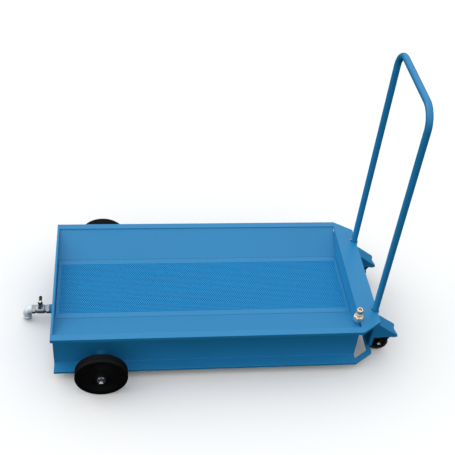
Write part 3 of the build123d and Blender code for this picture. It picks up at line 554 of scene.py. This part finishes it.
def fixedWheelPieces(side, look):
    low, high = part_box(f"tyre_{side}")
    centre = (low + high) / 2
    body = f"wheel_{side}"
    outer = (high.x - low.x) / 2
    half = (high.y - low.y) / 2
    discLow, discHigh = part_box(f"wheel_disc_{side}")
    discOuter = look["discRadius"]
    bore = look["discBore"]
    hubHalf = (discHigh.y - discLow.y) / 2
    deep = outer - look["grooveDepth"]
    right = [
        (outer, 0.0030), (deep, 0.0036), (deep, 0.0050), (outer, 0.0056), (outer, half - 0.0032),
        (outer - 0.0004, half - 0.0019), (outer - 0.0013, half - 0.0009), (outer - 0.0026, half - 0.0002),
        (outer - 0.0040, half), (discOuter + 0.0085, half), (discOuter + 0.0070, half - look["rib"]),
        (discOuter + 0.0035, half - look["rib"]), (discOuter + 0.0022, half - 0.0004), (discOuter, half - 0.0012),
    ]
    profile = [(r, -h) for r, h in reversed(right)] + right
    profile.append(profile[0])
    tyre = turned(
        f"tyre_{side}_solid", profile, centre, (0, 1, 0), tyreBlack, body, look["steps"],
    )
    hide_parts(f"tyre_{side}")
    face = [
        (bore, hubHalf - 0.001), (bore + 0.001, hubHalf), (0.0225, hubHalf), (0.0238, hubHalf - 0.001),
        (0.0250, half - 0.0052), (0.0290, half - 0.0068), (0.0480, half - 0.0062), (0.0492, half - 0.0050),
        (0.0518, half - 0.0050), (0.0530, half - 0.0060), (0.0625, half - 0.0048), (0.0640, half - 0.0028),
        (discOuter, half - 0.0026),
    ]
    profile = [(r, -h) for r, h in face] + [(r, h) for r, h in reversed(face)]
    profile.append(profile[0])
    disc = turned(
        f"wheel_disc_{side}_moulded", profile, centre, (0, 1, 0), discBlack, body, look["steps"],
    )
    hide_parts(f"wheel_disc_{side}")


for side in ("near", "far"):
    fixedWheelPieces(side, fixedWheel)

axleHardware = {"nutFlats": 0.030, "nutHeight": 0.016, "threadPitch": 0.0020, "threadDepth": 0.0009}


def threadedEnd(start, length, radius, origin, axis, pitch, depth):
    profile = [(0.0001, start - 0.002), (radius, start - 0.002)]
    h = start
    while h < start + length - 0.002:
        profile += [(radius, h), (radius - depth, h + pitch / 2)]
        h += pitch
    profile += [(radius, h), (radius - 0.0012, start + length), (0.0001, start + length)]
    return spin(lambda turn: profile, origin, axis, 48)


def axlePieces(side, sign, look):
    low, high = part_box(f"axle_{side}")
    mid = (low + high) / 2
    tip = low.y if sign < 0 else high.y
    radius = (high.x - low.x) / 2
    nutLow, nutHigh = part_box("axle_nuts")
    nutOuter = nutLow.y if sign < 0 else nutHigh.y
    nutHeight = look["nutHeight"]
    foot = nutOuter - sign * nutHeight
    outward = (0, sign, 0)
    nutShape = hexProfile(look["nutFlats"], nutHeight - 0.0004, radius)
    verts, faces = spin(nutShape, (mid.x, foot, mid.z), outward, 96)
    nut = newPiece(f"axle_nut_{side}", verts, faces, zinc, "chassis", 24)
    root = high.y if sign < 0 else low.y
    reach = abs(foot - root) - 0.001
    rod = [(0.0001, 0), (radius, 0), (radius, reach), (0.0001, reach)]
    shaft = spin(lambda turn: rod, (mid.x, root, mid.z), outward, 48)
    thread = threadedEnd(
        0, abs(tip - foot), radius, (mid.x, foot, mid.z), outward, look["threadPitch"], look["threadDepth"],
    )
    verts, faces = joinParts([shaft, thread])
    axle = newPiece(f"axle_{side}_threaded", verts, faces, zinc, "chassis", 40)
    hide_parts(f"axle_{side}")
    return nut


nuts = [axlePieces(side, sign, axleHardware) for side, sign in (("near", -1), ("far", 1))]
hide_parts("axle_nuts")
softened("axle_washers", 0.0004, zinc, segments=2, suffix="_pressed")
print("fixed wheels made")


castorLook = {
    "steps": 72,
    "tread": 0.011,        # rubber round the core
    "boltHead": 0.005,
    "boltFlats": 0.013,
    "boltShank": 0.004,
    "boltSpare": 0.003,    # bolt end standing past its nut
}


def castorPieces(side, look):
    low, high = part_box(f"castor_tyre_{side}")
    centre = (low + high) / 2
    outer, half = (high.x - low.x) / 2, (high.y - low.y) / 2
    coreOuter = outer - look["tread"]
    body = f"castor_wheel_{side}"
    right = [
        (outer, 0), (outer, half - 0.0050), (outer - 0.0012, half - 0.0024), (outer - 0.0040, half - 0.0005),
        (outer - 0.0060, half), (coreOuter + 0.0010, half), (coreOuter, half - 0.0010),
    ]
    profile = [(r, -h) for r, h in reversed(right)][:-1] + right
    profile.append(profile[0])
    tyre = turned(
        f"castor_tyre_{side}_round", profile, centre, (0, 1, 0), castorBlack, body, look["steps"],
    )
    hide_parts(f"castor_tyre_{side}")
    coreLow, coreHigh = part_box(f"castor_core_{side}")
    hubHalf = (coreHigh.y - coreLow.y) / 2
    face = [
        (0.00405, hubHalf), (0.0095, hubHalf), (0.0110, hubHalf - 0.001), (0.0118, half - 0.0050),
        (0.0150, half - 0.0062), (0.0250, half - 0.0055), (0.0268, half - 0.0032), (coreOuter, half - 0.0030),
    ]
    profile = [(r, -h) for r, h in face] + [(r, h) for r, h in reversed(face)]
    profile.append(profile[0])
    core = turned(
        f"castor_core_{side}_moulded", profile, centre, (0, 1, 0), discBlack, body, look["steps"],
    )
    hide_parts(f"castor_core_{side}")
    softened(f"castor_fork_{side}", 0.0008, zinc, segments=2, suffix="_pressed")
    softened(f"castor_plate_{side}", 0.0006, zinc, segments=2, suffix="_pressed")
    # axle bolt and its nut
    low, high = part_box(f"castor_axle_{side}")
    mid = (low + high) / 2
    length = high.y - low.y
    headHeight, flats = look["boltHead"], look["boltFlats"]
    shank, spare = look["boltShank"], look["boltSpare"]
    headShape = hexProfile(flats, headHeight, 0.0001, both=False)
    nutShape = hexProfile(flats, headHeight, shank + 0.0001)
    head = spin(headShape, (mid.x, low.y + headHeight, mid.z), (0, -1, 0), 96)
    shaft = threadedEnd(headHeight, length - headHeight, shank, (mid.x, low.y, mid.z), (0, 1, 0), 0.00125, 0.0006)
    nut = spin(nutShape, (mid.x, high.y - spare - headHeight, mid.z), (0, 1, 0), 96)
    verts, faces = joinParts([head, shaft, nut])
    bolt = newPiece(f"castor_axle_{side}_bolt", verts, faces, zinc, f"castor_{side}", 24)
    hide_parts(f"castor_axle_{side}")


for side in ("near", "far"):
    castorPieces(side, castorLook)

seatBolts = {"flats": 0.010, "spacing": 0.045, "shank": 0.003, "head": 0.004, "nut": 0.005}


def seatBoltPieces(look):
    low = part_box("castor_bolts")[0]
    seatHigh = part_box("castor_seat_near")[1]
    plateLow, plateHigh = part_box("castor_plate_near")
    plateX = (plateLow.x + plateHigh.x) / 2
    plateY = abs(plateLow.y + plateHigh.y) / 2
    parts = []
    under = plateHigh.z - 0.0025
    headShape = hexProfile(look["flats"], look["head"], 0.0001, both=False)
    nutShape = hexProfile(look["flats"], look["nut"], look["shank"] + 0.0001)
    for sign in (-1, 1):
        for dx in (-1, 1):
            for dy in (-1, 1):
                x = plateX + dx * look["spacing"] / 2
                y = sign * plateY + dy * look["spacing"] / 2
                top = (x, y, seatHigh.z)
                parts.append(spin(headShape, top, (0, 0, 1), 96))
                parts.append(spin(nutShape, (x, y, under - look["nut"]), (0, 0, 1), 96))
                parts.append(threadedEnd(0, seatHigh.z - low.z, look["shank"], top, (0, 0, -1), 0.001, 0.0004))
    verts, faces = joinParts(parts)
    bolts = newPiece("castor_bolts_hex", verts, faces, zinc, "chassis", 24)
    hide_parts("castor_bolts")


seatBoltPieces(seatBolts)
print("castors made")


ballValve = {"hexFlats": 0.032, "hexLength": 0.014, "waist": 0.0164, "bulge": 0.0180, "bore": 0.0085}


def valvePieces(look):
    low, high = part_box("valve_body")
    middle = (low.x + high.x) / 2
    length = high.x - low.x
    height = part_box("drain_elbow")[1].z - 0.0165
    bore, hexLength = look["bore"], look["hexLength"]
    ends = []
    for start, axis in ((low.x, (1, 0, 0)), (high.x, (-1, 0, 0))):
        ends.append(spin(hexProfile(look["hexFlats"], hexLength, bore), (start, 0, height), axis, 96))
    waist, bulge = look["waist"], look["bulge"]
    half = length / 2 - hexLength
    profile = [
        (bore, -half - 0.001), (waist - 0.0015, -half - 0.001),
        (waist - 0.0015, -half + 0.002), (waist, -half + 0.004),
    ]
    for k in range(9):
        turn = math.pi * (k + 0.5) / 9
        profile.append((waist + (bulge - waist) * math.sin(turn), -math.cos(turn) * (half - 0.005)))
    profile += [
        (waist, half - 0.004), (waist - 0.0015, half - 0.002),
        (waist - 0.0015, half + 0.001), (bore, half + 0.001),
    ]
    barrel = spin(lambda turn: profile, (middle, 0, height), (1, 0, 0), 72)
    seamShape = [(waist, 0.0085), (bulge + 0.0006, 0.0090), (bulge + 0.0006, 0.0115), (waist, 0.0120)]
    seam = spin(lambda turn: seamShape, (middle, 0, height), (1, 0, 0), 72)
    top = high.z - height
    neckShape = [
        (0.0051, 0.012), (0.0098, 0.012), (0.0092, top - 0.009), (0.0105, top - 0.008),
        (0.0105, top - 0.0065), (0.0094, top - 0.0055), (0.0094, top - 0.001), (0.0084, top), (0.0051, top),
    ]
    neck = spin(lambda turn: neckShape, (middle, 0, height), (0, 0, 1), 48)
    verts, faces = joinParts(ends + [barrel, seam, neck])
    body = newPiece("valve_body_plated", verts, faces, nickel, "chassis", 28)
    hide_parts("valve_body")
    return middle, height


valveX, drainHeight = valvePieces(ballValve)

teeLever = {"thickness": 0.0030, "lift": 0.0032, "rib": 0.0016, "width": 0.0128, "hub": 0.0094}


def leverPieces(look):
    low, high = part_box("valve_lever")
    half = (high.y - low.y) / 2
    base = low.z + 0.0006
    rows = []
    steps = 44
    for k in range(steps + 1):
        y = -half + 2 * half * k / steps
        endRound = look["width"] / 2
        fromEnd = half - abs(y)
        wide = look["width"] / 2
        if fromEnd < endRound:
            wide = math.sqrt(max(0.0, endRound ** 2 - (endRound - fromEnd) ** 2)) * 0.999 + 0.0001
        if abs(y) < look["hub"]:
            wide = max(wide, math.sqrt(look["hub"] ** 2 - y * y))
        waist = 1.0 - 0.16 * math.exp(-((abs(y) - 0.016) / 0.006) ** 2)
        wide *= waist
        lift = look["lift"] * max(0.0, (abs(y) / half - 0.42) / 0.58) ** 1.5
        rows.append((y, wide, base + lift))
    verts, faces = [], []
    shape = [(-1, 0), (-1, 1), (-0.72, 1), (-0.56, 0.55), (0.56, 0.55), (0.72, 1), (1, 1), (1, 0)]
    thick = look["thickness"] + look["rib"]
    for y, wide, z in rows:
        verts += [Vector((valveX + sx * wide, y, z + sz * thick)) for sx, sz in shape]
    size = len(shape)
    for k in range(steps):
        for s in range(size):
            t = (s + 1) % size
            faces.append((k * size + s, k * size + t, (k + 1) * size + t, (k + 1) * size + s))
    faces.append(tuple(range(size)))
    faces.append(tuple(steps * size + s for s in range(size)))
    hub = look["hub"]
    bossShape = [(0.0051, 0), (hub, 0), (hub, 0.0042), (hub - 0.0008, 0.005), (0.0051, 0.005)]
    boss = spin(lambda turn: bossShape, (valveX, 0, low.z + 0.0002), (0, 0, 1), 48)
    verts, faces = joinParts([(verts, faces), boss])
    lever = newPiece("valve_lever_pressed", verts, faces, leverBlack, "drain_lever", 40)
    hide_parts("valve_lever")
    nutLow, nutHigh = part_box("lever_nut")
    nutFlats = min(nutHigh.x - nutLow.x, nutHigh.y - nutLow.y)
    nut = hexPiece(
        "lever_nut_hex", nutFlats, nutHigh.z - nutLow.z, 0.0051, (valveX, 0, nutLow.z), (0, 0, 1),
        zinc, "drain_lever",
    )
    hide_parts("lever_nut")


leverPieces(teeLever)

elbowLook = {"outer": 0.0152, "collar": 0.0178, "collarLength": 0.010, "wall": 0.0032, "bend": 0.0215}


def elbowPieces(look):
    low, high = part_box("drain_elbow")
    mouthX = low.x + 0.0165
    bend = look["bend"]
    startX = high.x
    path = [Vector((startX, 0, drainHeight))]
    radii = [look["collar"]]
    ups = [Vector((0, 0, 1))]
    collar = look["collarLength"]
    path += [Vector((startX - collar * 0.55, 0, drainHeight))]
    radii += [look["collar"]]
    ups += [Vector((0, 0, 1))]
    centre = Vector((mouthX + bend, 0, drainHeight - bend))
    for k in range(25):
        turn = math.pi / 2 * k / 24
        out = Vector((-math.sin(turn), 0, math.cos(turn)))
        spot = centre + out * bend
        if spot.x > startX - collar * 0.7:
            continue
        path.append(spot)
        radii.append(look["outer"] + (0.0009 if k in (4, 5) else 0.0))
        ups.append(out)
    for z in (low.z + collar * 1.25, low.z + collar * 1.05):
        path.append(Vector((mouthX, 0, z)))
        radii.append(look["outer"])
        ups.append(Vector((-1, 0, 0)))
    for z in (low.z + collar * 0.95, low.z + collar * 0.5, low.z + 0.001, low.z):
        path.append(Vector((mouthX, 0, z)))
        radii.append(look["collar"] - (0.0008 if z == low.z else 0.0))
        ups.append(Vector((-1, 0, 0)))
    sides = 48
    outerSkin, _ = sweep(path, ups, lambda k: radii[k], sides)
    innerSkin, _ = sweep(path, ups, lambda k: 0.0125, sides)
    verts = list(outerSkin) + list(innerSkin)
    count = len(path)
    shift = count * sides
    faces = []
    for k in range(count - 1):
        for s in range(sides):
            t = (s + 1) % sides
            a, b = k * sides, (k + 1) * sides
            faces.append((a + s, a + t, b + t, b + s))
            faces.append((shift + a + s, shift + b + s, shift + b + t, shift + a + t))
    for s in range(sides):
        t = (s + 1) % sides
        faces.append((s, shift + s, shift + t, t))
        e = (count - 1) * sides
        faces.append((e + s, e + t, shift + e + t, shift + e + s))
    elbow = newPiece("drain_elbow_cast", verts, faces, galvanised, "chassis", 50)
    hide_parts("drain_elbow")


elbowPieces(elbowLook)
print("drain line made")


suctionNipple = {"hexFlats": 0.0345, "hexHeight": 0.0200, "plug": 0.0138, "groove": 0.0124, "bore": 0.0068}


def nipplePieces(look):
    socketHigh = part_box("coupling_socket")[1]
    low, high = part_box("coupling_nipple")
    centre = ((low.x + high.x) / 2, (low.y + high.y) / 2)
    foot = socketHigh.z
    tall = high.z - foot
    hexFoot = spin(hexProfile(look["hexFlats"], look["hexHeight"], 0.009), (*centre, foot), (0, 0, 1), 96)
    plug, groove, bore = look["plug"], look["groove"], look["bore"]
    h = look["hexHeight"]
    profile = [
        (bore, -0.008), (0.0130, -0.008), (0.0130, h - 0.001), (0.0138, h + 0.0005), (0.0138, h + 0.0020),
        (0.0128, h + 0.0028), (0.0128, h + 0.0058), (plug - 0.0006, h + 0.0066), (plug, h + 0.0074),
        (plug, h + 0.0136), (groove, h + 0.0152), (groove, h + 0.0180), (plug - 0.0004, h + 0.0198),
        (plug - 0.0004, tall - 0.0060), (plug - 0.0016, tall - 0.0018),
        (plug - 0.0026, tall - 0.0006), (plug - 0.0036, tall), (bore + 0.0009, tall), (bore, tall - 0.0010),
        (bore, tall - 0.0100), (bore, -0.008),
    ]
    body = spin(lambda turn: profile, (*centre, foot), (0, 0, 1), 72)
    poppetShape = [
        (0.0001, tall - 0.0042), (0.0030, tall - 0.0046), (0.0048, tall - 0.0075), (0.0052, tall - 0.0110),
        (0.0069, tall - 0.0125), (0.0069, tall - 0.0135), (0.0001, tall - 0.0135),
    ]
    poppet = spin(lambda turn: poppetShape, (*centre, foot), (0, 0, 1), 48)
    verts, faces = joinParts([hexFoot, body, poppet])
    nipple = newPiece("suction_nipple", verts, faces, brass, "chassis", 28)
    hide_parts("coupling_nipple")
    return centre


couplingAt = nipplePieces(suctionNipple)
print("suction coupling made")


slope = {"run": 0.130, "fall": 0.052, "step": 0.005}


weldBead = {"thin": 0.0020, "frame": 0.0022, "drain": 0.0024, "axle": 0.0026}
weldRing = {"drain": 0.0196, "axle": 0.0166, "leg": 0.0142, "webFace": 0.2730}


def slopeHeight(y):
    return rimHeight - slope["step"] - slope["fall"] * (rimInner - abs(y)) / slope["run"]


def weldPiece(name, runs):
    verts, faces = joinParts([weldAlong(*run) for run in runs])
    return newPiece(name, verts, faces, blue, "chassis", 70)


socketLow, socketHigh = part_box("coupling_socket")
socketRadius = (socketHigh.x - socketLow.x) / 2
ring = ringPoints((*couplingAt, rimHeight), (0, 0, 1), socketRadius + 0.0008, 96)
for point in ring:
    if point.x < deckStart:
        point.z = slopeHeight(point.y) + 0.0004
weldPiece("weld_coupling", [(ring, [Vector((0, 0, 1))] * len(ring), weldBead["thin"], True)])

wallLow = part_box("left_end_wall")[0]
drainRing = ringPoints((wallLow.x, 0, drainHeight), (1, 0, 0), weldRing["drain"], 72)
weldPiece("weld_drain_socket", [(drainRing, [Vector((-1, 0, 0))] * 72, weldBead["drain"], True)])

runs = []
for side, sign in (("near", -1), ("far", 1)):
    low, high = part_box(f"axle_boss_{side}")
    mid = (low + high) / 2
    bossRing = ringPoints((mid.x, sign * weldRing["webFace"], mid.z), (0, 1, 0), weldRing["axle"], 72)
    runs.append((bossRing, [Vector((0, sign, 0))] * 72, weldBead["axle"], True))
weldPiece("weld_axle_bosses", runs)

runs = []
for side, sign in (("near", -1), ("far", 1)):
    low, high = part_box(f"handle_socket_{side}")
    mid = (low + high) / 2
    legRing = ringPoints((mid.x, mid.y, high.z), (0, 0, 1), weldRing["leg"], 64)
    runs.append((legRing, [Vector((0, 0, 1))] * 64, weldBead["thin"], True))
    low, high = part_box(f"castor_bracket_{side}")
    x = low.x + 0.0006
    edge = 0.0006
    down = [(x, low.y - edge, low.z + 0.004), (x, low.y - edge, high.z - 0.002)]
    over = [(x, low.y + 0.002, high.z + edge), (x, high.y - 0.002, high.z + edge)]
    up = [(x, high.y + edge, high.z - 0.002), (x, high.y + edge, low.z + 0.004)]
    runs.append((down, [Vector((1, -1, 0))] * 2, weldBead["frame"], False))
    runs.append((over, [Vector((1, 0, 1))] * 2, weldBead["frame"], False))
    runs.append((up, [Vector((1, 1, 0))] * 2, weldBead["frame"], False))
    low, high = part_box(f"bracket_plate_{side}")
    foot = [(low.x - 0.0004, low.y + 0.002, low.z), (low.x - 0.0004, high.y - 0.002, low.z)]
    runs.append((foot, [Vector((-1, 0, 1))] * 2, weldBead["frame"], False))
weldPiece("weld_brackets", runs)
print("welds made")


finishOf = {
    "blue_paint": blue, "grille_paint": grilleBluePaintedLight, "wheel_rubber": tyreBlack, "wheel_disc": discBlack,
    "bush": nylon, "castor_rubber": castorBlack, "castor_core": discBlack, "zinc": zinc, "nickel": nickel,
    "valve_trim": brass, "lever_paint": leverBlack, "elbow": galvanised, "brass": brass, "pipe": blue,
}
for part in frame["record"]["subparts"]:
    node = nodes[part["node"]]
    node.data.materials.clear()
    node.data.materials.append(finishOf[part["material_slot"]])
print("finishes given to the carried-over nodes")


studio = {
    "floorSize": 30.0,
    "floorTone": (0.94, 0.94, 0.943),
    "domeStrength": 1.03,
    "domeTone": (0.97, 0.99, 1.0, 1.0),
    "domeFade": (-0.02, 0.30),   # the dome brightens between these sines of the height angle
    "keyStrength": 0.80,
    "keyAngle": 60.0,
    "keyFrom": (-0.84, 0.16, 0.52),
    "cameraAt": (-0.3572, -2.3520, 2.6553),
    "pan": 9.855,      # degrees from +Y towards +X
    "tilt": 42.076,    # degrees below level
    "roll": 6.098,
    "lens": 66.2,
}


def makeDome(look):
    # an even overhead dome that stops at floor level; only the camera sees the pale backdrop
    world = bpy.data.worlds.new("studio surround")
    world.use_nodes = True
    tree = world.node_tree
    dome = tree.nodes["Background"]
    dome.inputs["Color"].default_value = look["domeTone"]
    direction = tree.nodes.new("ShaderNodeSeparateXYZ")
    tree.links.new(tree.nodes.new("ShaderNodeTexCoord").outputs["Generated"], direction.inputs["Vector"])
    fade = tree.nodes.new("ShaderNodeMapRange")
    fade.inputs["From Min"].default_value, fade.inputs["From Max"].default_value = look["domeFade"]
    fade.inputs["To Min"].default_value = 0.0
    fade.inputs["To Max"].default_value = look["domeStrength"]
    tree.links.new(direction.outputs["Z"], fade.inputs["Value"])
    tree.links.new(fade.outputs["Result"], dome.inputs["Strength"])
    backdrop = tree.nodes.new("ShaderNodeBackground")
    backdrop.inputs["Color"].default_value = (1.0, 1.0, 1.0, 1.0)
    chosen = tree.nodes.new("ShaderNodeMixShader")
    tree.links.new(tree.nodes.new("ShaderNodeLightPath").outputs["Is Camera Ray"], chosen.inputs["Fac"])
    tree.links.new(dome.outputs["Background"], chosen.inputs[1])
    tree.links.new(backdrop.outputs["Background"], chosen.inputs[2])
    tree.links.new(chosen.outputs["Shader"], tree.nodes["World Output"].inputs["Surface"])
    bpy.context.scene.world = world


def makeStudio(look):
    half = look["floorSize"] / 2
    mesh = bpy.data.meshes.new("studio_floor")
    corners = [(-half, -half, 0), (half, -half, 0), (half, half, 0), (-half, half, 0)]
    mesh.from_pydata(corners, [], [(0, 1, 2, 3)])
    material, tree, surface, place = newFinish("pale floor")
    tone = grainOf(tree, place, 1.5, 2)
    toned = rampOf(tree, tone, [(0.3, shade(look["floorTone"], 0.99)), (0.7, look["floorTone"])])
    tree.links.new(toned, surface.inputs["Base Color"])
    surface.inputs["Roughness"].default_value = 0.9
    surface.inputs["Specular IOR Level"].default_value = 0.2
    mesh.materials.append(material)
    floor = bpy.data.objects.new("studio_floor", mesh)
    bpy.context.scene.collection.objects.link(floor)
    floor.visible_diffuse = False    # the floor takes shadows but throws no light up
    floor.visible_glossy = False

    key = bpy.data.lights.new("soft key", "SUN")
    key.energy = look["keyStrength"]
    key.angle = math.radians(look["keyAngle"])
    lamp = bpy.data.objects.new("soft key", key)
    lamp.rotation_mode = "QUATERNION"
    lamp.rotation_quaternion = Vector(look["keyFrom"]).to_track_quat("Z", "Y")
    bpy.context.scene.collection.objects.link(lamp)

    makeDome(look)

    pan, tilt, roll = (math.radians(look[k]) for k in ("pan", "tilt", "roll"))
    ahead = Vector((math.sin(pan) * math.cos(tilt), math.cos(pan) * math.cos(tilt), -math.sin(tilt)))
    right = Vector((math.cos(pan), -math.sin(pan), 0))
    up = right.cross(ahead)
    rightRolled = right * math.cos(roll) + up * math.sin(roll)
    upRolled = up * math.cos(roll) - right * math.sin(roll)
    camera = bpy.data.cameras.new("camera")
    camera.lens = look["lens"]
    camera.sensor_width = 36.0
    camera.clip_end = 100
    eye = bpy.data.objects.new("camera", camera)
    turn = Matrix((rightRolled, upRolled, -ahead)).transposed()
    eye.matrix_world = Matrix.Translation(look["cameraAt"]) @ turn.to_4x4()
    bpy.context.scene.collection.objects.link(eye)
    bpy.context.scene.camera = eye
    bpy.context.scene.view_settings.view_transform = "Standard"
    bpy.context.scene.view_settings.look = "None"


makeStudio(studio)
print("studio made")
